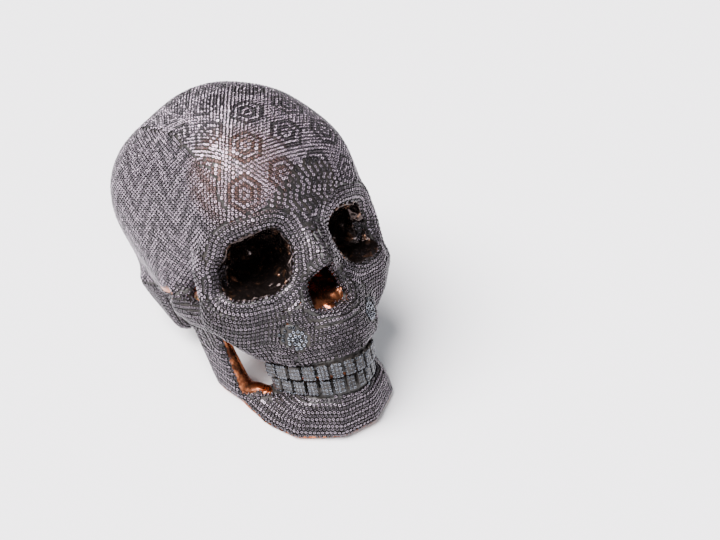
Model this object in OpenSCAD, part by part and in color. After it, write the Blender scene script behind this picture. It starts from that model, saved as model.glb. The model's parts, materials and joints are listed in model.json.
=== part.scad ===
// Life-size skull covered in seed beads pressed into wax, after the Huichol way of working.
// Everything is laid out in the skull's own frame: x to its left, y to the back, z up from the
// ear line, origin midway between the ears. seat() then tips the face up, which is how the skull
// rests on its jaw and the back of its head.

/* [Braincase] */
// Greatest length, brow to back
head_l = 180; // [166:1:194]
// Greatest breadth
head_w = 130; // [122:1:138]
// Height above the ear line
head_h = 110; // [103:1:117]

/* [Beadwork] */
// Depth of the wax with the beads in it
bead_t = 2; // [1.6:0.1:2.4]
// Width of the band of bead rows round each eye socket
rim_w = 8; // [6:0.5:10]
// Width of the band of bead rows round the nose opening
nose_w = 5; // [4:0.5:7]
// Radius of the flower of beads on each cheek
flower_r = 6; // [4:0.5:7]

/* [Teeth] */
// Teeth in each half of a jaw
teeth_n = 7; // [6:1:8]
// Height of a tooth's patch of beads
tooth_h = 9; // [7:0.5:10]

/* [Jaw hinge] */
// Diameter of each hinge pin
pin_d = 3; // [2.5:0.1:4]
// Length of each hinge pin
pin_l = 20; // [18:0.5:20.5]
// Outer diameter of each bush
bush_d = 7; // [6:0.5:8]
// Length of each bush
bush_l = 9; // [7:0.5:10]
// Running clearance on the diameter of the pin
pin_play = 0.1; // [0.06:0.02:0.16]

/* [Rest] */
// How far the face is tipped up
tilt = 25; // [24:0.5:26]

/* [Hidden] */

far = 300;
// Nominal braincase that the ball positions below are given for
kx = head_w / 130;
ky = head_l / 180;
kz = head_h / 110;
hinge_y = -12 * ky;
hinge_z = -5 * kz;
knuckle_r = 5.5;
knuckle_in = 46;
knuckle_out = 57;
knuckle_bare = 49;
seat_y = 9;
seat_z = 45;
vault_fn = 24;
bone_fn = 10;
socket_fn = 12;

// Balls are [x, y, z, radius]; a hull over two or more of them is a bone
vault = [[18, 25, 50, 47], [0, 0, 56, 54], [0, -28, 55, 51], [12, -52, 52, 37], [18, -55, 40, 32],
    [0, 42, 28, 46], [0, 42, 46, 46], [20, -4, 24, 43], [18, 45, 6, 32]];
brow = [[[0, -84, 36, 8], [22, -81, 40, 8]], [[22, -81, 40, 8], [43, -68, 33, 7]],
    [[43, -68, 33, 7], [52, -61, 18, 5]], [[52, -61, 18, 5], [52, -61, -4, 6]]];
nose = [[[4, -82, 29, 6], [0, -98, 10, 4], [9, -84, 6, 5]],
    [[9, -81, 22, 5], [15, -84, -6, 6], [20, -76, -2, 6]]];
orbit_wall = [[[48, -57, 24, 6], [48, -56, -2, 6], [32, -40, 10, 13]],
    [[40, -66, -6, 6], [14, -74, -6, 6], [26, -46, -2, 10]],
    [[8, -74, 22, 5], [8, -72, 0, 7], [8, -46, 8, 8]],
    [[5, -56, 20, 9], [6, -57, -6, 9], [6, -46, 6, 10], [17, -67, 3, 9]], [[4, -79, 19, 6.5], [4, -60, 18, 8]]];
cheek = [[[14, -82, -2, 5.5], [30, -78, -4, 6.5], [45, -70, -4, 7]],
    [[40, -71, -10, 9], [51, -62, -8, 8.5], [44, -67, -21, 6]],
    [[44, -67, -21, 6], [30, -66, -32, 9], [30, -73, -12, 9]]];
maxilla = [[[7, -89, -35, 11], [20, -80, -35, 11], [21, -58, -35, 10], [20, -78, -12, 9], [30, -66, -12, 9]],
    [[0, -98, -24, 4], [8, -89, -34, 10], [15, -86, -12, 6]],
    [[10, -40, -8, 14], [14, -50, -30, 7], [24, -58, -18, 9]],
    [[0, -88, -28, 7], [14, -76, -28, 7], [14, -52, -26, 7], [0, -46, -22, 8]]];
arch = [[[51, -59, -11, 7], [56, -44, -9, 5]], [[56, -44, -9, 5], [57, -26, -6, 5]],
    [[57, -26, -6, 5], [54, -6, 4, 6]], [[54, -6, 4, 6], [50, 8, 5, 8]]];
mastoid = [[[47, 14, -1, 11], [46, 32, 4, 14], [46, 12, -22, 7]]];
socket = [[22, -88, 25, 10], [40, -80, 23, 9.5], [42, -74, 7, 9.5], [27, -82, 6, 9]];
socket_end = [[17, -42, 14, 5]];
nostril = [[0, -90, 6, 5], [7, -92, -13, 6]];
palate = [[0, -82, -54, 8], [9, -58, -54, 9]];
concha = [[[6, -87, -13, 3], [6, -67, -8, 5]], [[0, -90, -17, 2.5], [0, -65, -3, 5]]];

// Edges of the bead fields on the braincase
field_base = -10;
field_side = 40;
field_front = -34;
field_back = 50;
field_top = 62;
lining_t = 1;
rim_depth = 4;
gum_z = -43;

// Jaw, from the chin back along one side
jaw_low = [[8, -85, -84, 9], [26, -74, -83, 8], [36, -56, -79, 7], [40, -40, -73, 6], [42, -25, -66, 5.5]];
jaw_high = [[8, -90, -70, 6], [22, -81, -69, 6], [28, -60, -69, 6], [34, -44, -64, 5.5]];
ramus = [[[42, -25, -65, 5], [40, -41, -60, 5], [46, -40, -22, 3.5], [48, -19, -22, 3.5]],
    [[46, -39, -24, 3.5], [46, -43, -11, 2.5], [48, -30, -22, 3.5]],
    [[48, -19, -22, 3.5], [53, -12, -7, 4.5]]];
jaw_inner = [[0, -88], [9, -88], [24, -77], [33, -57], [38, -42], [41, -24], [42, 20]];
ramus_lean = 8;
ramus_top = -19;

// Arcs of teeth: half width, length and back end of the half ellipse that the roots stand on
upper_arc = [29.5, 50, -52];
lower_arc = [27.5, 47.5, -52];
bite_z = -53;
tooth_gap = 0.8;
root_w = 8;

module paired() {
    children();
    mirror([1, 0, 0]) children();
}

module on_side(side) {
    mirror([side < 0 ? 1 : 0, 0, 0]) children();
}

module seat() {
    translate([0, seat_y, seat_z]) rotate([-tilt, 0, 0]) children();
}

module ball(b, grow, fn) {
    translate([b.x * kx, b.y * ky, b.z * kz]) sphere(b[3] + grow, $fn = fn);
}

module bone(balls, grow) {
    hull() for (b = balls) ball(b, grow, bone_fn);
}

module bones(list, grow) {
    for (balls = list) paired() bone(balls, grow);
}

module slab(x, y, z) {
    translate([x[0], y[0], z[0]]) cube([x[1] - x[0], y[1] - y[0], z[1] - z[0]]);
}

module braincase(grow) {
    hull() paired() for (b = vault) ball(b, grow, vault_fn);
}

module eye_socket(grow) {
    hull() {
        for (b = socket) {
            ball(b, grow, socket_fn);
            translate([0, -30, 0]) ball(b, grow + 4, socket_fn);
        }
        for (b = socket_end) ball(b, grow, socket_fn);
    }
}

module nose_opening(grow) {
    hull() paired() for (b = nostril, back = [-20, 18]) translate([0, back, 0]) ball(b, grow, 16);
}

// Where the bead rows follow the eye socket, down to a given depth inside its rim
module eye_zone(depth) {
    intersection() {
        eye_socket(rim_w);
        translate([30 * kx, -73 * ky, 0]) rotate([0, 0, 28]) slab([-60, 60], [-60, depth], [-60, 90]);
    }
}

module nose_zone(depth) {
    intersection() {
        nose_opening(nose_w);
        slab([-60, 60], [-far, -86 * ky + depth], [-60, 60]);
    }
}

module flower_zone() {
    translate([21 * kx, -70 * ky, -25 * kz]) rotate([90, 0, 14]) cylinder(r = flower_r, h = 60, $fn = 20);
}

module arc_ring(arc, outer, inner, z0, z1) {
    translate([0, arc[2] * ky, z0]) linear_extrude(z1 - z0) difference() {
        scale([arc[0] * kx + outer, arc[1] * ky + outer]) circle(1, $fn = 48);
        scale([arc[0] * kx - inner, arc[1] * ky - inner]) circle(1, $fn = 48);
        translate([-far, 0]) square(2 * far);
    }
}

module gum(arc, z0, z1) {
    arc_ring(arc, 0, root_w, z0, z1);
}

// Room behind the upper teeth, which has no beads
module mouth() {
    translate([0, upper_arc[2] * ky, bite_z - 10]) linear_extrude(32)
        scale([upper_arc[0] * kx - 4, upper_arc[1] * ky - 4]) circle(1, $fn = 32);
}

// Patches of beads, one on the front of each tooth
module teeth(arc, z0, z1) {
    step = 86 / teeth_n;
    for (side = [-1, 1], i = [0:teeth_n - 1]) {
        t = side * (i + 0.5) * step;
        turn = atan2(arc[1] * sin(t), arc[0] * cos(t));
        w = norm([arc[0] * kx * cos(t), arc[1] * ky * sin(t)]) * step * PI / 360 - tooth_gap / 2;
        h = (z1 - z0) / 2;
        translate([arc[0] * kx * sin(t), (arc[2] - arc[1] * cos(t)) * ky, (z0 + z1) / 2])
            rotate([90, 0, turn]) tooth_pad(w, h);
    }
}

module tooth_pad(w, h) {
    corner = min(w, h) * 0.4;
    hull() for (u = [-1, 1], v = [-1, 1]) translate([u * (w - corner), v * (h - corner), 0])
        cylinder(r1 = corner, r2 = corner * 0.6, h = bead_t, $fn = 8);
}

module skull_outer(grow) {
    difference() {
        union() {
            braincase(grow);
            bones(brow, grow);
            bones(nose, grow);
            bones(orbit_wall, grow);
            bones(cheek, grow);
            bones(maxilla, grow);
            bones(arch, grow);
            bones(mastoid, grow);
        }
        paired() eye_socket(-grow);
        nose_opening(-grow);
    }
}

module jaw_outer(grow) {
    for (i = [0:3]) paired()
        bone([jaw_low[i], jaw_low[i + 1], jaw_high[min(i, 3)], jaw_high[min(i + 1, 3)]], grow);
    hull() paired() for (b = [jaw_low[0], jaw_high[0]]) ball(b, grow, bone_fn);
    bones(ramus, grow);
    paired() knuckle(knuckle_r + grow, knuckle_in, knuckle_out + grow);
}

module knuckle(r, from, to) {
    translate([from, hinge_y, hinge_z]) rotate([0, 90, 0]) cylinder(r = r, h = to - from, $fn = 40);
}

// Room that the jaw's knuckle and the beads on it need as it swings
module jaw_room(gap) {
    paired() {
        knuckle(knuckle_r + gap, knuckle_in - gap, far);
        knuckle(knuckle_r + bead_t + gap, knuckle_bare - gap, far);
    }
}

// Layer of wax and beads over the bone
module cranium_skin() {
    difference() {
        skull_outer(bead_t);
        skull_outer(0);
        jaw_room(2.2);
    }
}

module jaw_skin() {
    difference() {
        jaw_outer(bead_t);
        jaw_outer(0);
        arc_ring(lower_arc, bead_t, root_w + 6, bite_z - 15, bite_z + 4);
    }
}

module jaw_outside() {
    difference() {
        slab([-far, far], [-far, far], [-far, bite_z - tooth_h - 0.6]);
        translate([0, 0, -far]) linear_extrude(2 * far) scale([kx, ky])
            polygon([for (p = jaw_inner) p, for (i = [len(jaw_inner) - 1:-1:1]) [-jaw_inner[i].x, jaw_inner[i].y]]);
    }
}

module above_rest(gap) {
    intersection() {
        children();
        translate([0, 0, gap]) slab([-far, far], [-far, far], [0, far]);
    }
}

// A field of beads over one stretch of the cranium, clear of the rims and flowers
module field(x, y, z) {
    difference() {
        intersection() {
            cranium_skin();
            slab([x[0] * kx, x[1] * kx], [y[0] * ky, y[1] * ky], [z[0] * kz, z[1] * kz]);
        }
        paired() eye_zone(rim_depth + 12);
        paired() eye_socket(0.2);
        nose_zone(30);
        paired() flower_zone();
        gum(upper_arc, bite_z, bite_z + 18);
        mouth();
    }
}

module cranium_casting() {
    color("peru") above_rest(0) seat() difference() {
        union() {
            skull_outer(0);
            gum(upper_arc, bite_z, bite_z + 18);
            bones(concha, 0);
        }
        hull() paired() for (b = palate) ball(b, 0, bone_fn);
        jaw_room(1.2);
        paired() knuckle(bush_d / 2, knuckle_in - bush_l - 1, knuckle_in);
    }
}

module socket_lining(side) {
    color("saddlebrown") seat() on_side(side) difference() {
        eye_socket(0);
        eye_socket(-lining_t);
        translate([30 * kx, -73 * ky, 0]) rotate([0, 0, 28]) slab([-60, 60], [-far, rim_depth], [-60, 90]);
    }
}

module forehead_beads() {
    color("dimgray") seat() field([-field_side, field_side], [-200, field_front], [26, 200]);
}

module crown_beads() {
    color("slategray") seat() field([-field_side, field_side], [field_front, field_back], [field_top, 200]);
}

module occiput_beads() {
    color("dimgray") seat() field([-100, 100], [field_back, 200], [field_base, 200]);
}

module temple_beads(side) {
    color("gray") seat() on_side(side) {
        field([field_side, 100], [-110, -12], [3, 200]);
        field([24, field_side], [-72, -12], [3, 26]);
        field([24, field_side], [field_front, -12], [26, field_top]);
    }
}

module side_beads(side) {
    color("dimgray") seat() on_side(side) {
        field([field_side, 100], [-12, field_back], [4, 200]);
        field([24, field_side], [-12, field_back], [4, field_top]);
    }
}

module eye_rim_beads(side) {
    color("lightslategray") seat() on_side(side) difference() {
        intersection() {
            cranium_skin();
            eye_zone(rim_depth + 12);
        }
        difference() {
            eye_socket(0.2);
            eye_zone(rim_depth);
        }
        nose_zone(30);
        slab([-far, 0], [-far, far], [-far, far]);
    }
}

module nose_bridge_beads() {
    color("silver") seat() field([-15, 15], [-200, -86], [3, 26]);
}

module nose_rim_beads() {
    color("lightslategray") seat() difference() {
        intersection() {
            cranium_skin();
            nose_zone(0);
        }
        bones(concha, 0);
    }
}

module cheek_beads(side) {
    color("dimgray") seat() on_side(side) field([26, 100], [-200, -56], [gum_z, 3]);
}

module cheek_flower(side) {
    color("lightsteelblue") seat() on_side(side) intersection() {
        cranium_skin();
        flower_zone();
    }
}

module arch_beads(side) {
    color("gray") seat() on_side(side) field([50, 100], [-56, -12], [-20, 3]);
}

module mastoid_beads(side) {
    color("gray") seat() on_side(side) field([34, 100], [0, field_back], [-31, 4]);
}

module upper_jaw_beads() {
    color("dimgray") seat() field([-26, 26], [-200, -68], [gum_z, 3]);
}

module upper_teeth_beads() {
    color("slategray") seat() difference() {
        teeth(upper_arc, bite_z, bite_z + tooth_h);
        skull_outer(0);
    }
}

module hinge_bush(side) {
    color("goldenrod") seat() on_side(side) difference() {
        knuckle(bush_d / 2, knuckle_in - bush_l - 1, knuckle_in - 1);
        knuckle((pin_d + pin_play) / 2, knuckle_in - bush_l - 2, knuckle_in);
    }
}

module jaw_casting() {
    color("peru") above_rest(0) seat() difference() {
        union() {
            jaw_outer(0);
            gum(lower_arc, bite_z - 15, bite_z - 0.6);
        }
        paired() knuckle(pin_d / 2, knuckle_in - 1, knuckle_out + 1);
    }
}

module chin_beads() {
    color("dimgray") above_rest(bead_t) seat() intersection() {
        jaw_skin();
        jaw_outside();
        slab([-24 * kx, 24 * kx], [-far, -60], [-far, 0]);
    }
}

module jaw_side_beads(side) {
    color("gray") above_rest(bead_t) seat() on_side(side) intersection() {
        jaw_skin();
        jaw_outside();
        slab([24 * kx, far], [-far, -44 * ky], [-far, 0]);
    }
}

module ramus_beads(side) {
    color("dimgray") above_rest(bead_t) seat() on_side(side) intersection() {
        jaw_skin();
        slab([0, far], [-44 * ky, far], [-far, hinge_z + knuckle_r]);
        translate([41 * kx, 0, -65 * kz]) rotate([0, ramus_lean, 0]) slab([0, 40], [-60, 20], [-40, 90]);
        union() {
            slab([0, far], [-far, far], [-far, ramus_top * kz]);
            slab([knuckle_bare, far], [hinge_y - 14, far], [-far, far]);
        }
    }
}

module lower_teeth_beads() {
    color("slategray") seat() difference() {
        teeth(lower_arc, bite_z - tooth_h - 0.6, bite_z - 0.6);
        jaw_outer(0);
    }
}

module hinge_pin(side) {
    color("silver") seat() on_side(side) knuckle(pin_d / 2, knuckle_out - pin_l, knuckle_out);
}

cranium_casting();
socket_lining(-1);  // socket_lining_right
socket_lining(1);  // socket_lining_left
forehead_beads();
crown_beads();
occiput_beads();
temple_beads(-1);  // temple_beads_right
temple_beads(1);  // temple_beads_left
side_beads(-1);  // side_beads_right
side_beads(1);  // side_beads_left
eye_rim_beads(-1);  // eye_rim_beads_right
eye_rim_beads(1);  // eye_rim_beads_left
nose_bridge_beads();
nose_rim_beads();
cheek_beads(-1);  // cheek_beads_right
cheek_beads(1);  // cheek_beads_left
cheek_flower(-1);  // cheek_flower_right
cheek_flower(1);  // cheek_flower_left
arch_beads(-1);  // arch_beads_right
arch_beads(1);  // arch_beads_left
mastoid_beads(-1);  // mastoid_beads_right
mastoid_beads(1);  // mastoid_beads_left
upper_jaw_beads();
upper_teeth_beads();
hinge_bush(-1);  // hinge_bush_right
hinge_bush(1);  // hinge_bush_left
jaw_casting();
chin_beads();
jaw_side_beads(-1);  // jaw_side_beads_right
jaw_side_beads(1);  // jaw_side_beads_left
ramus_beads(-1);  // ramus_beads_right
ramus_beads(1);  // ramus_beads_left
lower_teeth_beads();
hinge_pin(-1);  // hinge_pin_right
hinge_pin(1);  // hinge_pin_left
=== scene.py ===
import json
import math
import random

import bmesh
import bpy
import numpy as np
from mathutils import Euler, Matrix, Vector, kdtree, noise
from mathutils.bvhtree import BVHTree


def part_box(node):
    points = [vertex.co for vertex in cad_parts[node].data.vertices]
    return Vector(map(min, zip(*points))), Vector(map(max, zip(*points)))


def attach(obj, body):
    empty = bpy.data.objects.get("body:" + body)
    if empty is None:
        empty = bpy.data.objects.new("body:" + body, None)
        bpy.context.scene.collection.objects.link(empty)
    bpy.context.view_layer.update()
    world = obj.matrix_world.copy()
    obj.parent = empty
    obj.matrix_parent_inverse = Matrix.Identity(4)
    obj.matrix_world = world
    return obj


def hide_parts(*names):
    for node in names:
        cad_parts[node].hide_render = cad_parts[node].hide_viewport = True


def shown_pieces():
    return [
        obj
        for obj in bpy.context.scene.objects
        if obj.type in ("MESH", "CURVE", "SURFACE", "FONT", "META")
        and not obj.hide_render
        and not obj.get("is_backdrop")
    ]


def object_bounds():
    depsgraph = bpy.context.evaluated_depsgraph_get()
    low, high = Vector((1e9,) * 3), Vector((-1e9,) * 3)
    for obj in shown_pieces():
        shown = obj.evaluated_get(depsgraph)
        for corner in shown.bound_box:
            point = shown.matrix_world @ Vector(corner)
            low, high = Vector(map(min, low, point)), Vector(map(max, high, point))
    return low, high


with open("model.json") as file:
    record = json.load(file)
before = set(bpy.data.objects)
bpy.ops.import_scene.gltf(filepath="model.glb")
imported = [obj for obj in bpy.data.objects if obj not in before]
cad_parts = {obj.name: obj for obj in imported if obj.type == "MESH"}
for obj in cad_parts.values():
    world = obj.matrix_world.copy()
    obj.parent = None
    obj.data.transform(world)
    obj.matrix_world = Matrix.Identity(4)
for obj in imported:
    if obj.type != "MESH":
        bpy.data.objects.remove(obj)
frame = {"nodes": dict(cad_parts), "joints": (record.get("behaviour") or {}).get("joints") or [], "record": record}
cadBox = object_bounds()
nodes = frame["nodes"]
bodies = frame["record"]["behaviour"]["bodies"]

# The skull's own frame: x to its left, y to the back, z up from the ear line, in metres
skull = {
    "tilt": math.radians(25),  # the face is tipped up by this much
    "hinge": (0, -0.012, -0.005),  # the jaw hinge, seen from midway between the ears
}

beads = {
    "pitch": 0.0023,
    "radius": 0.00112,
    "hole": 0.00038,
    "height": 0.0012,
    "segments": 8,
    # how much bright colour is painted on each bead's top as a highlight
    "silvered": 1.0,
    "proud": 0.0008,  # how far they stand out of the wax
    "jitter": 0.00006,
    "tip": math.radians(7),
    "closest": 0.84,  # two beads are never nearer than this share of the pitch
    "roomy": 0.93,  # a gap wider than this is filled with one more bead
    "mostInPiece": 2900,
}

surface = {
    "voxel": 0.0015,
    "lightPasses": 6,
    "vaultPasses": 90,
    "waxThick": 0.0012,
    "boneDrop": 0.0019,
    "sunkBy": 0.003,  # most that smoothing may have sunk it below a skin
    "gum": 0.012,  # beads carry on over the gums this far from the teeth
    "rimTurn": 0.5,  # a rim face turned further in than this is the socket's wall
}

rng = random.Random(11)
turnDown = Matrix.Rotation(-skull["tilt"], 3, "X")
hingeAt = Vector(frame["joints"][0]["pos_m"])
earAt = hingeAt - turnDown @ Vector(skull["hinge"])
turnNp = np.array(turnDown)
earNp = np.array(earAt)

# the way that each eye socket looks
socketAxis = {
    "right": Vector((-0.35, -0.93, 0.05)).normalized(),
    "left": Vector((0.35, -0.93, 0.05)).normalized(),
}


def inSkull(points):
    return (np.asarray(points) - earNp) @ turnNp


def inWorld(points):
    return np.asarray(points) @ turnNp.T + earNp


def report(text):
    print("stage:", text, flush=True)


# mesh helpers


def newObject(name, mesh):
    obj = bpy.data.objects.new(name, mesh)
    bpy.context.scene.collection.objects.link(obj)
    return obj


def bmToObject(bm, name, smooth=True):
    mesh = bpy.data.meshes.new(name)
    bm.to_mesh(mesh)
    bm.free()
    mesh.polygons.foreach_set("use_smooth", [smooth] * len(mesh.polygons))
    return newObject(name, mesh)


def mergedCopy(names):
    # CAD meshes are loose triangles, so each copy is merged on its own before they are put together
    total = bmesh.new()
    for n in names:
        one = bmesh.new()
        one.from_mesh(nodes[n].data)
        bmesh.ops.remove_doubles(one, verts=one.verts, dist=1e-6)
        mesh = bpy.data.meshes.new("part")
        one.to_mesh(mesh)
        one.free()
        total.from_mesh(mesh)
        bpy.data.meshes.remove(mesh)
    return total


def applied(obj):
    # the object's mesh with its modifiers worked in
    graph = bpy.context.evaluated_depsgraph_get()
    mesh = bpy.data.meshes.new_from_object(obj.evaluated_get(graph), depsgraph=graph)
    old = obj.data
    obj.modifiers.clear()
    obj.data = mesh
    bpy.data.meshes.remove(old)
    return obj


def remeshed(bm, name, voxel):
    obj = bmToObject(bm, name)
    mod = obj.modifiers.new("voxels", "REMESH")
    mod.mode = "VOXEL"
    mod.voxel_size = voxel
    return applied(obj)


def biggestIsland(bm):
    seen = set()
    best = []
    for start in bm.verts:
        if start.index in seen:
            continue
        seen.add(start.index)
        island, todo = [], [start]
        while todo:
            v = todo.pop()
            island.append(v)
            for e in v.link_edges:
                w = e.other_vert(v)
                if w.index not in seen:
                    seen.add(w.index)
                    todo.append(w)
        if len(island) > len(best):
            best = island
    keep = set(v.index for v in best)
    bmesh.ops.delete(bm, geom=[v for v in bm.verts if v.index not in keep], context="VERTS")


def relax(points, edges, weight, passes):
    # each point moves part of the way to the middle of its neighbours
    a, b = edges[:, 0], edges[:, 1]
    count = np.bincount(np.r_[a, b], minlength=len(points))[:, None]
    for _ in range(passes):
        total = np.stack(
            [
                np.bincount(a, points[b, k], len(points)) + np.bincount(b, points[a, k], len(points))
                for k in range(3)
            ],
            axis=1,
        )
        points = points + weight[:, None] * 0.5 * (total / np.maximum(count, 1) - points)
    return points


def ramp(value, low, high):
    return np.clip((value - low) / (high - low), 0, 1)


# the smooth outside of each body, which wax, beads and castings are all taken from


def outerSurface(body, names):
    obj = remeshed(mergedCopy(names), body + "Surface", surface["voxel"])
    bm = bmesh.new()
    bm.from_mesh(obj.data)
    bm.verts.ensure_lookup_table()
    biggestIsland(bm)
    bmesh.ops.triangulate(bm, faces=bm.faces)
    mesh = obj.data
    bm.to_mesh(mesh)
    bm.free()
    count = len(mesh.vertices)
    co = np.empty(count * 3)
    mesh.vertices.foreach_get("co", co)
    co = co.reshape(-1, 3)
    edges = np.empty(len(mesh.edges) * 2, dtype=int)
    mesh.edges.foreach_get("vertices", edges)
    edges = edges.reshape(-1, 2)
    co = relax(co, edges, np.ones(count), surface["lightPasses"])
    if body == "cranium":
        s = inSkull(co)
        dome = ramp(s[:, 2], 0.036, 0.050)
        back = ramp(s[:, 1], -0.035, -0.015) * ramp(s[:, 2], 0.006, 0.018)
        rear = ramp(s[:, 1], 0.045, 0.055) * ramp(s[:, 2], -0.02, -0.005)
        co = relax(co, edges, np.maximum(dome, np.maximum(back, rear)), surface["vaultPasses"])
    mesh.vertices.foreach_set("co", co.ravel())
    mesh.update()
    tris = np.empty(len(mesh.polygons) * 3, dtype=int)
    mesh.polygons.foreach_get("vertices", tris)
    normal = np.empty(count * 3)
    mesh.vertices.foreach_get("normal", normal)
    return {
        "object": obj,
        "co": co,
        "tris": tris.reshape(-1, 3),
        "normal": normal.reshape(-1, 3),
        "edges": edges,
        "bvh": BVHTree.FromPolygons([Vector(c) for c in co], tris.reshape(-1, 3).tolist()),
    }


def treeOf(names):
    points, faces, owner = [], [], []
    for n in names:
        mesh = nodes[n].data
        start = len(points)
        points.extend(v.co.copy() for v in mesh.vertices)
        for p in mesh.polygons:
            faces.append([start + i for i in p.vertices])
            owner.append(n)
    return BVHTree.FromPolygons(points, faces), owner


def nameFaces(surf, names, teeth):
    # every face of the surface gets the CAD node that it belongs to
    tree, owner = treeOf(names)
    skins = [n for n in names if not n.endswith("casting")]
    skinTree, skinOwner = treeOf(skins)
    toothTree, _ = treeOf([teeth])
    centre = surf["co"][surf["tris"]].mean(axis=1)
    facing = surf["normal"][surf["tris"]].mean(axis=1)
    out = []
    place = inSkull(centre)
    outward = place * (1, 1, 0) - (0, -0.055, 0)  # away from the middle of the mouth
    lean = facing @ turnNp
    for c, n, way, tip in zip(centre, facing, outward, lean):
        hit = tree.find_nearest(Vector(c))
        name = owner[hit[2]]
        if name.endswith("casting"):
            # smoothing may have sunk the surface below a skin that lies over it
            over = skinTree.ray_cast(Vector(c), Vector(n), surface["sunkBy"])
            if over[0] is not None:
                name = skinOwner[over[2]]
            if toothTree.find_nearest(Vector(c), surface["gum"])[0] is not None:
                if way[1] < 0.012 and way.dot(tip) > 0.3 * np.linalg.norm(way):
                    name = skinOwner[skinTree.find_nearest(Vector(c))[2]]
            if toothTree.find_nearest(Vector(c), 0.0022)[0] is not None:
                name = teeth
        if name.startswith("eye_rim"):
            # the wall that looks into the socket is lined with leaf, not beads
            side = name.rsplit("_", 1)[1]
            low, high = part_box("socket_lining_" + side)
            axis = turnDown @ socketAxis[side]
            off = Vector(c) - (low + high) / 2
            off -= axis * off.dot(axis)
            n = Vector(n)
            if n.dot(off) < 0 and n.dot(axis) < surface["rimTurn"]:
                name = "socket_lining_" + side
        out.append(name)
    index = {n: i for i, n in enumerate(sorted(set(out)))}
    label = np.array([index[n] for n in out])
    names = sorted(index)
    # stray faces take the name of most of their neighbours
    byEdge = {}
    for t, tri in enumerate(surf["tris"].tolist()):
        for k in range(3):
            a, b = tri[k], tri[(k + 1) % 3]
            byEdge.setdefault((min(a, b), max(a, b)), []).append(t)
    near = np.full((len(label), 3), -1)
    fill = [0] * len(label)
    for pair in byEdge.values():
        if len(pair) == 2:
            a, b = pair
            if fill[a] < 3 and fill[b] < 3:
                near[a, fill[a]] = b
                near[b, fill[b]] = a
                fill[a] += 1
                fill[b] += 1
    for _ in range(6):
        l0, l1, l2 = (np.where(near[:, k] >= 0, label[near[:, k]], -1) for k in range(3))
        agree = np.where(l0 == l1, l0, np.where(l1 == l2, l1, np.where(l0 == l2, l0, -1)))
        label = np.where(agree >= 0, agree, label)
    surf["label"] = label
    surf["names"] = names
    surf["near"] = near


def facesOf(surf, *wanted):
    ids = [surf["names"].index(n) for n in wanted if n in surf["names"]]
    return np.isin(surf["label"], ids)


def borderPoints(surf, inside, outside):
    # midpoints of the edges where faces of the first set meet faces of the second
    found = []
    tris, near = surf["tris"], surf["near"]
    for t in np.nonzero(inside)[0]:
        for k in range(3):
            other = near[t, k]
            if other >= 0 and outside[other]:
                shared = [v for v in tris[t] if v in tris[other]]
                if len(shared) == 2:
                    found.append(surf["co"][shared].mean(axis=0))
    return np.array(found)


def distanceTo(surf, points, faces, smooth=4):
    # distance of every corner of the chosen faces from a row of points
    tree = kdtree.KDTree(len(points))
    for i, p in enumerate(points):
        tree.insert(p, i)
    tree.balance()
    phi = np.full(len(surf["co"]), 1.0)
    used = np.unique(surf["tris"][faces])
    for v in used:
        near = tree.find_n(surf["co"][v], smooth)
        phi[v] = sum(d for _, _, d in near) / len(near)
    return phi


# where the beads go


class BeadBed:
    # the beads set so far on one body, with a grid for finding near ones
    def __init__(self, surf):
        self.surf = surf
        self.cell = {}
        self.place = []
        self.normal = []
        self.tone = []
        self.warm = []
        self.size = []
        self.node = []

    def key(self, p):
        s = beads["pitch"]
        return (int(p[0] // s), int(p[1] // s), int(p[2] // s))

    def tooNear(self, p, gap):
        kx, ky, kz = self.key(p)
        for dx in (-1, 0, 1):
            for dy in (-1, 0, 1):
                for dz in (-1, 0, 1):
                    for i in self.cell.get((kx + dx, ky + dy, kz + dz), ()):
                        q = self.place[i]
                        d = (p[0] - q[0]) ** 2 + (p[1] - q[1]) ** 2 + (p[2] - q[2]) ** 2
                        if d < gap * gap:
                            return True
        return False

    def put(self, p, tone, warm=0.0, size=1.0, nodesWanted=None, closest=None, node=None):
        hit, normal, face, _ = self.surf["bvh"].find_nearest(Vector(p))
        name = node or self.surf["names"][self.surf["label"][face]]
        if node is None and (name.endswith("casting") or name.startswith("socket")):
            return False
        if nodesWanted is not None and name not in nodesWanted:
            return False
        if self.tooNear(hit, (closest or beads["closest"]) * beads["pitch"]):
            return False
        weights = self.surf["normal"][self.surf["tris"][face]].mean(axis=0)
        self.cell.setdefault(self.key(hit), []).append(len(self.place))
        self.place.append(tuple(hit))
        self.normal.append(tuple(weights / np.linalg.norm(weights)))
        self.tone.append(tone)
        self.warm.append(warm)
        self.size.append(size)
        self.node.append(name)
        return True


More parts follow.
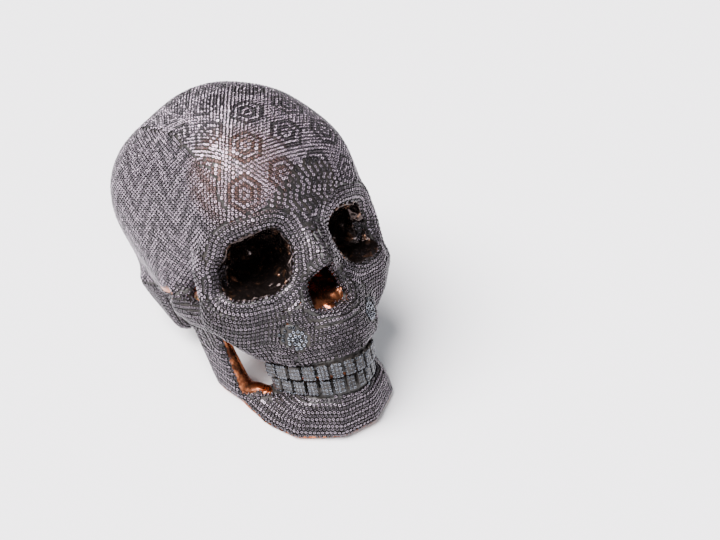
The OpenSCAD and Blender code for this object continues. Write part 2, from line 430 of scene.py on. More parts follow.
def rowsAlong(surf, phi, faces, first, last, step):
    # lines of equal phi over the chosen faces, each cut into evenly spaced places
    tris = surf["tris"][faces]
    co = surf["co"]
    values = phi[tris]
    low, high = values.min(axis=1), values.max(axis=1)
    rows = []
    level, number = first, 0
    while level < last:
        crossing = tris[(low < level) & (high >= level)]
        links = {}
        point = {}
        for tri in crossing.tolist():
            ends = []
            for k in range(3):
                a, b = tri[k], tri[(k + 1) % 3]
                if (phi[a] < level) != (phi[b] < level):
                    key = (min(a, b), max(a, b))
                    if key not in point:
                        f = (level - phi[a]) / (phi[b] - phi[a])
                        point[key] = co[a] + f * (co[b] - co[a])
                    ends.append(key)
            if len(ends) == 2:
                links.setdefault(ends[0], []).append(ends[1])
                links.setdefault(ends[1], []).append(ends[0])
        left = set(links)
        starts = [k for k in links if len(links[k]) == 1] + list(links)
        for start in starts:
            if start not in left:
                continue
            line, here = [start], start
            left.discard(start)
            while True:
                onward = [k for k in links[here] if k in left]
                if not onward:
                    break
                here = onward[0]
                left.discard(here)
                line.append(here)
            closed = len(line) > 6 and start in links[line[-1]]
            pts = np.array([point[k] for k in line + ([start] if closed else [])])
            if len(pts) < 2:
                continue
            for _ in range(3):
                if len(pts) > 4:
                    pts[1:-1] = (pts[:-2] + 2 * pts[1:-1] + pts[2:]) / 4
            seg = np.linalg.norm(np.diff(pts, axis=0), axis=1)
            run = np.r_[0, np.cumsum(seg)]
            if run[-1] < 0.4 * beads["pitch"]:
                continue
            n = max(1, round(run[-1] / beads["pitch"]))
            at = (np.arange(n) + (0.5 if number % 2 else 0.0)) * run[-1] / n
            places = np.stack([np.interp(at, run, pts[:, k]) for k in range(3)], axis=1)
            rows.append((number, places))
        level += step
        number += 1
    return rows


def latticePatch(surf, centre, along, allowed, reach):
    # a honeycomb of places grown outwards over the surface from one point, then eased to even spacing
    pitch = beads["pitch"]
    hit, normal, _, _ = surf["bvh"].find_nearest(Vector(centre))
    along = Vector(along)
    along = (along - normal * along.dot(normal)).normalized()
    frames = {(0, 0): (hit, along, normal)}
    steps = [(1, 0), (0, 1), (-1, 1), (-1, 0), (0, -1), (1, -1)]
    angles = {s: math.radians(60 * k) for k, s in enumerate(steps)}
    ring = [(0, 0)]
    for _ in range(reach):
        fresh = {}
        for cell in ring:
            for s in steps:
                key = (cell[0] + s[0], cell[1] + s[1])
                if key not in frames:
                    fresh.setdefault(key, None)
        ring = []
        made = {}
        for key in fresh:
            spot, way, count = Vector((0, 0, 0)), Vector((0, 0, 0)), 0
            for s in steps:
                parent = frames.get((key[0] - s[0], key[1] - s[1]))
                if parent:
                    p, e, n = parent
                    side = n.cross(e)
                    spot += p + pitch * (math.cos(angles[s]) * e + math.sin(angles[s]) * side)
                    way += e
                    count += 1
            q, n, face, _ = surf["bvh"].find_nearest(spot / count)
            if surf["names"][surf["label"][face]] not in allowed:
                continue
            way = (way - n * way.dot(n)).normalized()
            made[key] = (q, way, n)
        frames.update(made)
        ring = list(made)
        if not ring:
            break
    keys = list(frames)
    index = {k: i for i, k in enumerate(keys)}
    co = np.array([tuple(frames[k][0]) for k in keys])
    pairs = []
    for k in keys:
        for s in steps[:3]:
            other = (k[0] + s[0], k[1] + s[1])
            if other in index:
                pairs.append((index[k], index[other]))
    pairs = np.array(pairs)
    a, b = pairs[:, 0], pairs[:, 1]
    for turn in range(48):
        gap = co[b] - co[a]
        length = np.linalg.norm(gap, axis=1)[:, None]
        push = 0.16 * (length - pitch) * gap / length
        for k in range(3):
            co[:, k] += np.bincount(a, push[:, k], len(co)) - np.bincount(b, push[:, k], len(co))
        if turn % 6 == 5:
            co = np.array([tuple(surf["bvh"].find_nearest(Vector(c))[0]) for c in co])
    return keys, co


def hexRing(i, j, span):
    # how many rings out a cell stands in its hexagon
    q, r = i / span, j / span
    s = -q - r
    rq, rr, rs = round(q), round(r), round(s)
    dq, dr, ds = abs(rq - q), abs(rr - r), abs(rs - s)
    if dq > dr and dq > ds:
        rq = -rr - rs
    elif dr > ds:
        rr = -rq - rs
    di, dj = i - rq * span, j - rr * span
    return max(abs(di), abs(dj), abs(di + dj))


def wobble(value, spread=0.08):
    return min(1.0, max(0.0, value + rng.uniform(-spread, spread)))


# the surfaces of the two bodies

headNodes = [n for n in bodies["cranium"] if "teeth" not in n and "bush" not in n]
jawNodes = [n for n in bodies["jaw"] if "teeth" not in n and "pin" not in n]
cranium = outerSurface("cranium", headNodes)
nameFaces(cranium, headNodes, "upper_teeth_beads")
jaw = outerSurface("jaw", jawNodes)
nameFaces(jaw, jawNodes, "lower_teeth_beads")
cranium["wax"] = ~np.isin(
    cranium["label"],
    [i for i, n in enumerate(cranium["names"]) if n.endswith("casting") or n.startswith("socket")],
)
jaw["wax"] = ~np.isin(jaw["label"], [i for i, n in enumerate(jaw["names"]) if n.endswith("casting")])
report(f"surfaces, {len(cranium['tris'])} and {len(jaw['tris'])} faces")


# bead rows

pattern = {
    "eyeRows": 5,
    "noseRows": 4,
    "flowerRings": 2,
    "domeCentre": (0.004, -0.045, 0.1),
    "hexSpan": 11,  # beads from the middle of one hexagon to the next
    "chevronSpan": 20,
    "brightTone": 0.85,
    "darkTone": 0.12,
    "stripeTones": (0.66, 0.24),
    "eyeTones": [0.2, 0.45, 0.25, 0.6, 0.25, 0.9],  # row by row, outwards from the socket
    # kept low: painted shade on the lower face
    "cheekTones": [0.1, 0.22, 0.12, 0.28],
    "noseTones": [0.2, 0.5, 0.2, 0.4],
    "plainTones": [0.14, 0.32, 0.12, 0.22],
    # kept low: painted shade on the lower face
    "jawTones": [0.5, 0.16],
    "gapTone": 0.22,
    "bronzeAt": (-0.026, -0.075, 0.062),  # middle of a painted pool of light: beads here are tinted warm where the key light falls strongest
    "bronzeReach": 0.03,
}

headBed = BeadBed(cranium)
pitch = beads["pitch"]
step = pitch * 0.9


# how strongly a bead takes the painted warm light of the lit patch
def litWarmthAt(p):
    s = inSkull(p)
    d = math.dist(s, pattern["bronzeAt"]) / pattern["bronzeReach"]
    return max(0.0, 1.0 - d * d) * 0.9


def setRows(bed, rows, tones, nodesWanted=None):
    for number, places in rows:
        tone = tones[number % len(tones)]
        for p in places:
            bed.put(p, wobble(tone), litWarmthAt(p), 1.0, nodesWanted)


def stripeTone(i, j):
    # bright and dark zigzag stripes
    span = pattern["chevronSpan"]
    fold = abs((j + 400) % span - span / 2)
    bright, dark = pattern["stripeTones"]
    return bright if (i + j / 2 + fold + 400) % 6 < 3.2 else dark


# rows round each eye socket, carried on over the cheek
for side in ("right", "left"):
    rim = facesOf(cranium, "eye_rim_beads_" + side)
    border = borderPoints(cranium, rim, facesOf(cranium, "socket_lining_" + side))
    cheek = facesOf(cranium, "cheek_beads_" + side, "eye_rim_beads_" + side)
    phi = distanceTo(cranium, border, cheek)
    rows = rowsAlong(cranium, phi, rim, 0.5 * step, pattern["eyeRows"] * 2.2 * step, step)
    setRows(headBed, rows, pattern["eyeTones"], ["eye_rim_beads_" + side])
    rows = rowsAlong(cranium, phi, cheek, 0.5 * step, 0.06, step)
    setRows(headBed, rows, pattern["cheekTones"], ["cheek_beads_" + side])

# rows round the nose opening
noseRim = facesOf(cranium, "nose_rim_beads")
border = borderPoints(cranium, noseRim, facesOf(cranium, "cranium_casting"))
phi = distanceTo(cranium, border, noseRim)
rows = rowsAlong(cranium, phi, noseRim, 0.5 * step, pattern["noseRows"] * 3 * step, step)
setRows(headBed, rows, pattern["noseTones"], ["nose_rim_beads", "nose_bridge_beads"])
report(f"rims, {len(headBed.place)} beads")

# a flower on each cheek: one bead, then rings of six and twelve
for side in ("right", "left"):
    low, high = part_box("cheek_flower_" + side)
    middle = (low + high) / 2
    hit, normal, _, _ = cranium["bvh"].find_nearest(middle + Vector((0, -0.006, 0)))
    east = normal.cross(Vector((0, 0, 1))).normalized()
    north = east.cross(normal)
    headBed.put(hit, 0.2, 0, 1.05, None, 0.7, "cheek_flower_" + side)
    for ring in range(1, pattern["flowerRings"] + 1):
        for k in range(6 * ring):
            turn = 2 * math.pi * k / (6 * ring)
            spot = hit + ring * pitch * (math.cos(turn) * east + math.sin(turn) * north)
            headBed.put(spot, wobble(0.8), 0, 1.05, None, 0.7, "cheek_flower_" + side)

# nested hexagons over the forehead and crown
domeNodes = {"forehead_beads", "crown_beads"}
keys, places = latticePatch(
    cranium, inWorld(pattern["domeCentre"]), (1, 0, 0), domeNodes, 46
)
for (i, j), p in zip(keys, places):
    ring = hexRing(i, j, pattern["hexSpan"])
    tone = pattern["darkTone"] if ring in (0, 2, 4) else pattern["brightTone"]
    headBed.put(p, wobble(tone), litWarmthAt(p), 1.0, domeNodes)
report(f"dome, {len(headBed.place)} beads")

# upright rows with chevrons over the sides and the back
for side, sign in (("right", -1), ("left", 1)):
    wanted = {"temple_beads_" + side, "side_beads_" + side}
    keys, places = latticePatch(
        cranium, inWorld((sign * 0.062, -0.005, 0.045)), inWorld((0, 0, 0.1)) - earNp, wanted, 46
    )
    for (i, j), p in zip(keys, places):
        headBed.put(p, wobble(stripeTone(i, j)), litWarmthAt(p), 1.0, wanted)
keys, places = latticePatch(
    cranium, inWorld((0, 0.088, 0.04)), inWorld((0, 0, 0.1)) - earNp, {"occiput_beads"}, 52
)
for (i, j), p in zip(keys, places):
    headBed.put(p, wobble(stripeTone(i, j)), 0, 1.0, {"occiput_beads"})
report(f"sides and back, {len(headBed.place)} beads")

# level rows over the upper jaw, arches and the bone behind the ears
height = inSkull(cranium["co"])[:, 2]
lengthwise = inSkull(cranium["co"])[:, 1]
for name in [n for n in cranium["names"] if n.startswith(("upper_jaw", "arch", "mastoid"))]:
    part = facesOf(cranium, name)
    values = lengthwise if name.startswith("mastoid") else height
    phi = values - values[cranium["tris"][part]].min()
    rows = rowsAlong(cranium, phi, part, 0.4 * step, 0.09, step)
    setRows(headBed, rows, pattern["plainTones"], [name])


def fillGaps(bed, surf):
    # one more bead wherever the wax still shows room for it
    tree = kdtree.KDTree(len(bed.place))
    for i, p in enumerate(bed.place):
        tree.insert(p, i)
    tree.balance()
    tris = surf["tris"][surf["wax"]]
    labels = surf["label"][surf["wax"]]
    gaps = []
    for tri, lab in zip(tris, labels):
        if "teeth" in surf["names"][lab]:
            continue
        c = surf["co"][tri].mean(axis=0)
        d = tree.find(c)[2]
        if d > beads["roomy"] * pitch:
            gaps.append((d, tuple(c)))
    gaps.sort(reverse=True)
    for _, c in gaps:
        bed.put(c, wobble(pattern["gapTone"]), litWarmthAt(c), 1.0, None, beads["roomy"] * 0.97)


fillGaps(headBed, cranium)
report(f"cranium, {len(headBed.place)} beads")

# jaw rows run with its lower and rear edge
jawBed = BeadBed(jaw)
jawSkin = facesOf(jaw, *[n for n in jaw["names"] if n != "jaw_casting" and "teeth" not in n])
border = borderPoints(jaw, jawSkin, facesOf(jaw, "jaw_casting"))
centres = inSkull(jaw["co"][jaw["tris"]].mean(axis=1))
skinMiddle = centres[jawSkin]
lowEdge = []
for p, q in zip(inSkull(border), border):
    near = skinMiddle[np.linalg.norm(skinMiddle - p, axis=1) < 0.007].mean(axis=0)
    away = p - near
    if away[2] < -0.0012 or away[1] > 0.0018:
        lowEdge.append(q)
phi = distanceTo(jaw, np.array(lowEdge), jawSkin)
rows = rowsAlong(jaw, phi, jawSkin, 0.35 * step, 0.06, step)
setRows(jawBed, rows, pattern["jawTones"])
fillGaps(jawBed, jaw)
report(f"jaw, {len(jawBed.place)} beads")


# teeth: a raised pad of wax for each, with a block of beads on its front

tooth = {"voxel": 0.0006, "rows": 4, "pitch": 0.0021, "bead": 0.96}


def padIslands(name):
    bm = mergedCopy([name])
    left = set(bm.verts)
    islands = []
    for start in bm.verts:
        if start not in left:
            continue
        left.discard(start)
        found, todo = [start], [start]
        while todo:
            v = todo.pop()
            for e in v.link_edges:
                w = e.other_vert(v)
                if w in left:
                    left.discard(w)
                    found.append(w)
                    todo.append(w)
        islands.append(np.array([tuple(v.co) for v in found]))
    return bm, islands


def toothPads(name, bed):
    bm, islands = padIslands(name)
    pads = remeshed(bm, name + "Wax", tooth["voxel"])
    soft = bmesh.new()
    soft.from_mesh(pads.data)
    for _ in range(3):
        bmesh.ops.smooth_vert(
            soft, verts=soft.verts, factor=0.5, use_axis_x=True, use_axis_y=True, use_axis_z=True
        )
    soft.to_mesh(pads.data)
    tree = BVHTree.FromBMesh(soft)
    soft.free()
    up = turnNp @ np.array([0, 0, 1.0])
    middle = np.mean([i.mean(axis=0) for i in islands], axis=0)
    for island in islands:
        c = island.mean(axis=0)
        _, _, axes = np.linalg.svd(island - c)
        n = axes[2]
        if np.dot(n, c - middle) < 0:
            n = -n
        v = up - n * np.dot(up, n)
        v /= np.linalg.norm(v)
        u = np.cross(v, n)
        wide = np.ptp(island @ u)
        tall = np.ptp(island @ v)
        columns = max(2, int((wide - 0.0012) / tooth["pitch"]) + 1)
        rows = max(2, int((tall - 0.0012) / tooth["pitch"]) + 1)
        for a in range(columns):
            for b in range(rows):
                du = (a - (columns - 1) / 2) * tooth["pitch"]
                dv = (b - (rows - 1) / 2) * tooth["pitch"]
                start = c + u * du + v * dv + n * 0.006
                hit, normal, _, _ = tree.ray_cast(Vector(start), Vector(-n), 0.012)
                if hit is None:
                    continue
                bed.place.append(tuple(hit + Vector(n) * (beads["proud"] * 0.35)))
                bed.normal.append(tuple((normal + Vector(n) * 2).normalized()))
                bed.tone.append(wobble(0.4, 0.2))
                bed.warm.append(0.0)
                bed.size.append(tooth["bead"])
                bed.node.append(name)
    return pads


upperPads = toothPads("upper_teeth_beads", headBed)
lowerPads = toothPads("lower_teeth_beads", jawBed)
report("teeth")


# node groups and materials


def group(name, inputs, outputs):
    tree = bpy.data.node_groups.new(name, "ShaderNodeTree")
    for label, kind, value in inputs:
        socket = tree.interface.new_socket(label, in_out="INPUT", socket_type="NodeSocket" + kind)
        if value is not None:
            socket.default_value = value
    for label, kind in outputs:
        tree.interface.new_socket(label, in_out="OUTPUT", socket_type="NodeSocket" + kind)
    return tree, tree.nodes.new("NodeGroupInput"), tree.nodes.new("NodeGroupOutput")


def mixColor(tree, factor, a, b):
    node = tree.nodes.new("ShaderNodeMix")
    node.data_type = "RGBA"
    for socket, value in ((node.inputs[0], factor), (node.inputs[6], a), (node.inputs[7], b)):
        if isinstance(value, bpy.types.NodeSocket):
            tree.links.new(value, socket)
        else:
            socket.default_value = value
    return node.outputs[2]


def rangeMap(tree, value, fromLow, fromHigh, toLow, toHigh):
    node = tree.nodes.new("ShaderNodeMapRange")
    tree.links.new(value, node.inputs["Value"])
    for label, number in zip(
        ("From Min", "From Max", "To Min", "To Max"), (fromLow, fromHigh, toLow, toHigh)
    ):
        node.inputs[label].default_value = number
    return node.outputs["Result"]


def noiseAt(tree, scale, detail=4.0, rough=0.55, distort=0.0, link=None):
    coords = tree.nodes.new("ShaderNodeTexCoord")
    node = tree.nodes.new("ShaderNodeTexNoise")
    tree.links.new(coords.outputs["Object"], node.inputs["Vector"])
    node.inputs["Detail"].default_value = detail
    node.inputs["Roughness"].default_value = rough
    node.inputs["Distortion"].default_value = distort
    if link is not None:
        tree.links.new(link, node.inputs["Scale"])
    else:
        node.inputs["Scale"].default_value = scale
    return node.outputs["Fac"]


def beadTintGroup():
    tree, given, out = group(
        "beadTint",
        [
            ("Tone", "Float", 0.5),
            ("Warm", "Float", 0.0),
            ("Crest", "Float", 1.0),
            ("Dark", "Color", (0.03, 0.03, 0.035, 1)),
            ("Bright", "Color", (0.4, 0.38, 0.42, 1)),
            ("Bronze", "Color", (0.3, 0.16, 0.1, 1)),
        ],
        [("Color", "Color"), ("Roughness", "Float")],
    )
    lot = noiseAt(tree, 260.0, 1.0)  # beads of one string differ a little
    lot = rangeMap(tree, lot, 0.35, 0.65, 0.7, 1.15)
    # the bright colour goes only where the tone, the bead lot and the painted highlight on each bead's top allow
    shine = given.outputs["Tone"]
    for other in (given.outputs["Crest"], lot):
        node = tree.nodes.new("ShaderNodeMath")
        node.operation = "MULTIPLY"
        tree.links.new(shine, node.inputs[0])
        tree.links.new(other, node.inputs[1])
        shine = node.outputs[0]
    # Warm brings in the painted warm light of the lit patch on the bead's sides
    side = mixColor(tree, given.outputs["Warm"], given.outputs["Dark"], given.outputs["Bronze"])
    color = mixColor(tree, shine, side, given.outputs["Bright"])
    tree.links.new(color, out.inputs["Color"])
    rough = rangeMap(tree, noiseAt(tree, 900.0, 1.0), 0.3, 0.7, 0.12, 0.24)
    tree.links.new(rough, out.inputs["Roughness"])
    return tree


def unevenGroup():
    # patches of wear, and on the leaf painted copper glints, with a fine and a coarse part
    tree, given, out = group(
        "unevenWear",
        [
            ("Base", "Color", (0.5, 0.5, 0.5, 1)),
            ("Worn", "Color", (0.2, 0.2, 0.2, 1)),
            ("Scale", "Float", 60.0),
            ("Low", "Float", 0.4),
            ("High", "Float", 0.6),
            ("Gloss", "Float", 0.3),
            ("Worn Gloss", "Float", 0.5),
        ],
        [("Color", "Color"), ("Roughness", "Float"), ("Height", "Float")],
    )
    coarse = noiseAt(tree, 60.0, 6.0, 0.6, 0.4, given.outputs["Scale"])
    mask = tree.nodes.new("ShaderNodeMapRange")
    tree.links.new(coarse, mask.inputs["Value"])
    tree.links.new(given.outputs["Low"], mask.inputs["From Min"])
    tree.links.new(given.outputs["High"], mask.inputs["From Max"])
    patch = mask.outputs["Result"]
    color = mixColor(tree, patch, given.outputs["Base"], given.outputs["Worn"])
    tree.links.new(color, out.inputs["Color"])
    rough = tree.nodes.new("ShaderNodeMapRange")
    tree.links.new(patch, rough.inputs["Value"])
    tree.links.new(given.outputs["Gloss"], rough.inputs["To Min"])
    tree.links.new(given.outputs["Worn Gloss"], rough.inputs["To Max"])
    tree.links.new(rough.outputs["Result"], out.inputs["Roughness"])
    total = tree.nodes.new("ShaderNodeMath")
    total.operation = "MULTIPLY_ADD"
    tree.links.new(noiseAt(tree, 900.0, 3.0), total.inputs[0])
    total.inputs[1].default_value = 0.3
    tree.links.new(coarse, total.inputs[2])
    tree.links.new(total.outputs[0], out.inputs["Height"])
    return tree


beadTint = beadTintGroup()
unevenWear = unevenGroup()


def material(name):
    mat = bpy.data.materials.new(name)
    mat.use_nodes = True
    tree = mat.node_tree
    return mat, tree, tree.nodes["Principled BSDF"]


def groupNode(tree, source, values):
    node = tree.nodes.new("ShaderNodeGroup")
    node.node_tree = source
    for label, value in values.items():
        node.inputs[label].default_value = value
    return node


def beadMaterial(name, dark, bright, litCopper):
    mat, tree, shader = material(name)
    tint = groupNode(tree, beadTint, {"Dark": dark, "Bright": bright, "Bronze": litCopper})
    for label, socket in (("tone", "Tone"), ("warm", "Warm"), ("crest", "Crest")):
        attr = tree.nodes.new("ShaderNodeAttribute")
        attr.attribute_name = label
        tree.links.new(attr.outputs["Fac"], tint.inputs[socket])
    tree.links.new(tint.outputs["Color"], shader.inputs["Base Color"])
    tree.links.new(tint.outputs["Roughness"], shader.inputs["Roughness"])
    shader.inputs["Metallic"].default_value = 0.85
    shader.inputs["Coat Weight"].default_value = 0.35
    shader.inputs["Coat Roughness"].default_value = 0.06
    return mat


def wornMaterial(name, values, metallic, bump):
    mat, tree, shader = material(name)
    node = groupNode(tree, unevenWear, values)
    tree.links.new(node.outputs["Color"], shader.inputs["Base Color"])
    tree.links.new(node.outputs["Roughness"], shader.inputs["Roughness"])
    shader.inputs["Metallic"].default_value = metallic
    relief = tree.nodes.new("ShaderNodeBump")
    relief.inputs["Strength"].default_value = bump
    relief.inputs["Distance"].default_value = 0.0006
    tree.links.new(node.outputs["Height"], relief.inputs["Height"])
    tree.links.new(relief.outputs["Normal"], shader.inputs["Normal"])
    return mat


def patchValues(base, patch, scale, low, high, gloss, wornGloss):
    return {
        "Base": (*base, 1), "Worn": (*patch, 1), "Scale": scale, "Low": low, "High": high,
        "Gloss": gloss, "Worn Gloss": wornGloss,
    }


finish = {
    "gunmetal": beadMaterial(
        "gunmetalBeads", (0.007, 0.0055, 0.0065, 1), (0.6, 0.49, 0.59, 1), (0.13, 0.055, 0.035, 1)
    ),
    "blueGrey": beadMaterial(
        "blueGreyBeads", (0.009, 0.01, 0.013, 1), (0.36, 0.39, 0.46, 1), (0.05, 0.035, 0.028, 1)
    ),
    "wax": wornMaterial(
        "darkWax", patchValues((0.005, 0.004, 0.0035), (0.014, 0.01, 0.007), 120, 0.4, 0.65, 0.5, 0.6), 0.0, 0.5
    ),
    "copper": wornMaterial(
        "wornCopper", patchValues((0.42, 0.14, 0.06), (0.06, 0.022, 0.012), 90, 0.45, 0.58, 0.26, 0.4), 1.0, 0.5
    ),
    # the lighter copper patches on the dark leaf are painted glints
    "leaf": wornMaterial(
        "bronzeLeaf", patchValues((0.035, 0.026, 0.024), (0.32, 0.16, 0.09), 150, 0.56, 0.7, 0.16, 0.24), 0.9, 0.5
    ),
    "steel": wornMaterial(
        "pinSteel", patchValues((0.55, 0.55, 0.57), (0.4, 0.39, 0.38), 400, 0.45, 0.6, 0.25, 0.38), 1.0, 0.1
    ),
    "brass": wornMaterial(
        "bushBrass", patchValues((0.7, 0.5, 0.22), (0.4, 0.26, 0.12), 300, 0.45, 0.65, 0.28, 0.42), 1.0, 0.1
    ),
}


# the pieces


def camel(name):
    head, *rest = name.split("_")
    return head + "".join(w.capitalize() for w in rest)


def hold(obj, body, slot, mat, *replaced):
    obj.data.materials.clear()
    obj.data.materials.append(mat)
    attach(obj, body)
    if replaced:
        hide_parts(*replaced)
    return obj


def cutOut(surf, faces, drop):
    # the chosen faces of a surface, moved inwards by a depth
    bm = bmesh.new()
    bm.from_mesh(surf["object"].data)
    for v in bm.verts:
        v.co -= Vector(surf["normal"][v.index]) * drop
    bmesh.ops.delete(bm, geom=[f for f in bm.faces if not faces[f.index]], context="FACES")
    edge = [v for v in bm.verts if v.is_boundary]
    for _ in range(3):
        moved = []
        for v in edge:
            ends = [e.other_vert(v).co for e in v.link_edges if e.is_boundary]
            if len(ends) == 2:
                moved.append((v, v.co * 0.5 + (ends[0] + ends[1]) * 0.25))
        for v, spot in moved:
            v.co = spot
    return bm


def thickened(obj, depth):
    mod = obj.modifiers.new("wall", "SOLIDIFY")
    mod.thickness = depth
    mod.offset = -1
    mod.use_rim = True
    return applied(obj)


def shell(surf, name):
    # the casting: the surface itself, sunk below the wax and the leaf
    bm = bmesh.new()
    bm.from_mesh(surf["object"].data)
    bare = np.zeros(len(surf["co"]), dtype=bool)
    casting = facesOf(surf, *[n for n in surf["names"] if n.endswith("casting")])
    bare[np.unique(surf["tris"][casting])] = True
    for v in bm.verts:
        if not bare[v.index]:
            v.co -= Vector(surf["normal"][v.index]) * surface["boneDrop"]
    return bmToObject(bm, name)


leaf = {"depth": 0.0003, "crumple": 0.0016, "creases": 95.0, "fine": 260.0}


def leafLining(side):
    node = "socket_lining_" + side
    bm = cutOut(cranium, facesOf(cranium, node), 0.0002)
    bmesh.ops.subdivide_edges(bm, edges=bm.edges, cuts=1, use_grid_fill=True)
    bm.normal_update()
    for v in bm.verts:
        if v.is_boundary:
            continue
        ridge = abs(noise.noise(v.co * leaf["creases"])) + 0.5 * abs(noise.noise(v.co * leaf["fine"]))
        v.co += v.normal * leaf["crumple"] * (ridge * 1.6 - 0.2)
    obj = thickened(bmToObject(bm, camel(node) + "Leaf"), leaf["depth"])
    return hold(obj, "cranium", "leaf", finish["leaf"], node)


def beadShape():
    # a short glass ring, spun from its cross-section
    bm = bmesh.new()
    r, h, hole = beads["radius"], beads["height"] / 2, beads["hole"]
    section = [(r, -0.4 * h), (r * 0.84, 0.6 * h), (r * 0.5, h), (hole, 0.3 * h)]
    corners = [bm.verts.new((x, 0, z)) for x, z in section]
    sides = [bm.edges.new((corners[k], corners[(k + 1) % 4])) for k in range(4)]
    bmesh.ops.spin(
        bm, geom=corners + sides, cent=(0, 0, 0), axis=(0, 0, 1), angle=2 * math.pi,
        steps=beads["segments"], use_merge=True,
    )
    bmesh.ops.recalc_face_normals(bm, faces=bm.faces)
    crest = bm.verts.layers.float.new("crest")  # painted highlight: each bead's top, and less so its hole, takes the bright colour
    for v in bm.verts:
        v[crest] = beads["silvered"] if v.co.z > 0.8 * h else 0.6 if v.co.xy.length < r / 2 else 0.0
    return bmToObject(bm, "oneBead")


def scatterGroup(bead):
    tree = bpy.data.node_groups.new("setBeads", "GeometryNodeTree")
    tree.interface.new_socket("Geometry", in_out="INPUT", socket_type="NodeSocketGeometry")
    tree.interface.new_socket("Geometry", in_out="OUTPUT", socket_type="NodeSocketGeometry")
    given, out = tree.nodes.new("NodeGroupInput"), tree.nodes.new("NodeGroupOutput")
    info = tree.nodes.new("GeometryNodeObjectInfo")
    info.inputs["Object"].default_value = bead
    turn = tree.nodes.new("GeometryNodeInputNamedAttribute")
    turn.data_type = "FLOAT_VECTOR"
    turn.inputs["Name"].default_value = "turn"
    size = tree.nodes.new("GeometryNodeInputNamedAttribute")
    size.data_type = "FLOAT"
    size.inputs["Name"].default_value = "size"
    place = tree.nodes.new("GeometryNodeInstanceOnPoints")
    real = tree.nodes.new("GeometryNodeRealizeInstances")
    link = tree.links.new
    link(given.outputs[0], place.inputs["Points"])
    link(info.outputs["Geometry"], place.inputs["Instance"])
    link(turn.outputs["Attribute"], place.inputs["Rotation"])
    link(size.outputs["Attribute"], place.inputs["Scale"])
    link(place.outputs[0], real.inputs[0])
    link(real.outputs[0], out.inputs[0])
    return tree


oneBead = beadShape()
setBeads = scatterGroup(oneBead)


def beadPiece(name, bed, chosen, body, slot, mat, node):
    mesh = bpy.data.meshes.new(name)
    mesh.vertices.add(len(chosen))
    spots, turns = [], []
    sink = beads["height"] * 0.5
    for i in chosen:
        n = Vector(bed.normal[i])
        tip = n.to_track_quat("Z", "Y").to_euler()
        spin = Euler((rng.gauss(0, beads["tip"]), rng.gauss(0, beads["tip"]), rng.uniform(0, 0.78)))
        turn = (tip.to_matrix() @ spin.to_matrix()).to_euler()
        turns.extend(turn)
        wander = [rng.gauss(0, beads["jitter"]) for _ in range(3)]
        spots.extend(Vector(bed.place[i]) - n * sink + Vector(wander))
    mesh.vertices.foreach_set("co", spots)
    mesh.attributes.new("turn", "FLOAT_VECTOR", "POINT").data.foreach_set("vector", turns)
    for label, values in (
        ("size", [bed.size[i] * rng.uniform(0.96, 1.03) for i in chosen]),
        ("tone", [bed.tone[i] for i in chosen]),
        ("warm", [bed.warm[i] for i in chosen]),
    ):
        mesh.attributes.new(label, "FLOAT", "POINT").data.foreach_set("value", values)
    obj = newObject(name, mesh)
    mod = obj.modifiers.new("beads", "NODES")
    mod.node_group = setBeads
    applied(obj)
    for label in ("turn", "size"):
        if label in obj.data.attributes:
            obj.data.attributes.remove(obj.data.attributes[label])
    obj.data.polygons.foreach_set("use_smooth", [True] * len(obj.data.polygons))
    return hold(obj, body, slot, mat, node)


slotOf = {r["node"]: r["material_slot"] for r in frame["record"]["subparts"]}


def dress(surf, bed, body, pads, teeth):
    for node in sorted(set(bed.node)):
        slot = slotOf[node]
        mat = finish["blueGrey"] if slot == "pale_beads" else finish["gunmetal"]
        chosen = [i for i, n in enumerate(bed.node) if n == node]
        base = camel(node)
        if len(chosen) > beads["mostInPiece"]:
            parts = [
                (base + "Right", [i for i in chosen if bed.place[i][0] < 0]),
                (base + "Left", [i for i in chosen if bed.place[i][0] >= 0]),
            ]
        else:
            parts = [(base, chosen)]
        for name, some in parts:
            beadPiece(name, bed, some, body, slot, mat, node)
        faces = facesOf(surf, node)
        if faces.any():
            obj = bmToObject(cutOut(surf, faces, beads["proud"]), base + "Wax")
            hold(thickened(obj, surface["waxThick"]), body, slot, finish["wax"], node)
    hold(pads, body, slotOf[teeth], finish["wax"], teeth)
    name = body + "_casting"
    hold(shell(surf, camel(name) + "Shell"), body, "copper_cast", finish["copper"], name)
    bpy.data.objects.remove(surf["object"])


for side in ("right", "left"):
    leafLining(side)
dress(cranium, headBed, "cranium", upperPads, "upper_teeth_beads")
dress(jaw, jawBed, "jaw", lowerPads, "lower_teeth_beads")
bpy.data.objects.remove(oneBead)
for name, obj in nodes.items():
    if name.startswith("hinge"):
        obj.data.materials.clear()
        obj.data.materials.append(finish["steel" if "pin" in name else "brass"])
total = sum(len(o.data.loop_triangles) or len(o.data.polygons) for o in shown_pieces())
report(f"pieces, {len(headBed.place) + len(jawBed.place)} beads, about {total} faces")


# floor, light and camera

studio = {
    "floor": 3.0,
    "floorColor": (0.93, 0.93, 0.94, 1),
    "world": (0.92, 0.94, 1.0, 1),
    "worldStrength": 0.22,
}

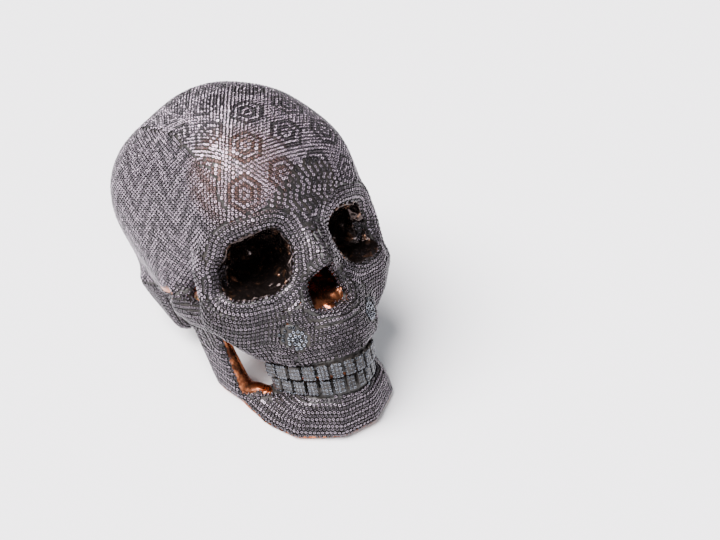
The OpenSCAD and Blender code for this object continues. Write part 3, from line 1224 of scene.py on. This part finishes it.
bm = bmesh.new()
bmesh.ops.create_grid(bm, x_segments=1, y_segments=1, size=studio["floor"])
floor = bmToObject(bm, "floor", smooth=False)
floorMat, floorTree, floorShader = material("paleFloor")
floorShader.inputs["Base Color"].default_value = studio["floorColor"]
floorShader.inputs["Roughness"].default_value = 0.8
floor.data.materials.append(floorMat)
floor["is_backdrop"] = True

world = bpy.data.worlds.new("studio")
bpy.context.scene.world = world
world.use_nodes = True
world.node_tree.nodes["Background"].inputs["Color"].default_value = studio["world"]
world.node_tree.nodes["Background"].inputs["Strength"].default_value = studio["worldStrength"]

middle = (cadBox[0] + cadBox[1]) / 2
lamps = {
    # name: (towards the lamp, how wide it looks in degrees, strength, colour)
    "key": ((-0.62, 0.12, 1.0), 46, 15.0, (1.0, 0.965, 0.985)),
    "fill": ((-0.3, -1.0, 0.75), 16, 1.2, (0.92, 0.94, 1.0)),
}
for name, (towards, wide, strength, color) in lamps.items():
    lamp = bpy.data.lights.new(name, "SUN")
    lamp.angle = math.radians(wide)
    lamp.energy = strength
    lamp.color = color
    obj = newObject(name, lamp)
    obj.location = middle + Vector(towards)
    obj.rotation_euler = Vector(towards).to_track_quat("Z", "Y").to_euler()

view = {
    "azimuth": math.radians(-36.6),
    "elevation": math.radians(35.2),
    "roll": math.radians(2.6),
    "distance": 0.4919,
    "across": -0.0739,  # how far the skull stands off the middle of the frame
    "up": 0.036,
    "lens": 40,
    "aim": (0, 0.021, 0.075),
}
az, el, roll = view["azimuth"], view["elevation"], view["roll"]
back = Vector((math.sin(az) * math.cos(el), -math.cos(az) * math.cos(el), math.sin(el)))
right = Vector((math.cos(az), math.sin(az), 0))
up = back.cross(right)
right, up = right * math.cos(roll) + up * math.sin(roll), up * math.cos(roll) - right * math.sin(roll)
lens = bpy.data.cameras.new("camera")
lens.lens = view["lens"]
lens.sensor_width = 36
lens.clip_start = 0.01
camera = newObject("camera", lens)
place = Matrix((right, up, back)).transposed().to_4x4()
place.translation = (
    Vector(view["aim"]) - right * view["across"] - up * view["up"] + back * view["distance"]
)
camera.matrix_world = place
bpy.context.scene.camera = camera

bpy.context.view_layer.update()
report("done")
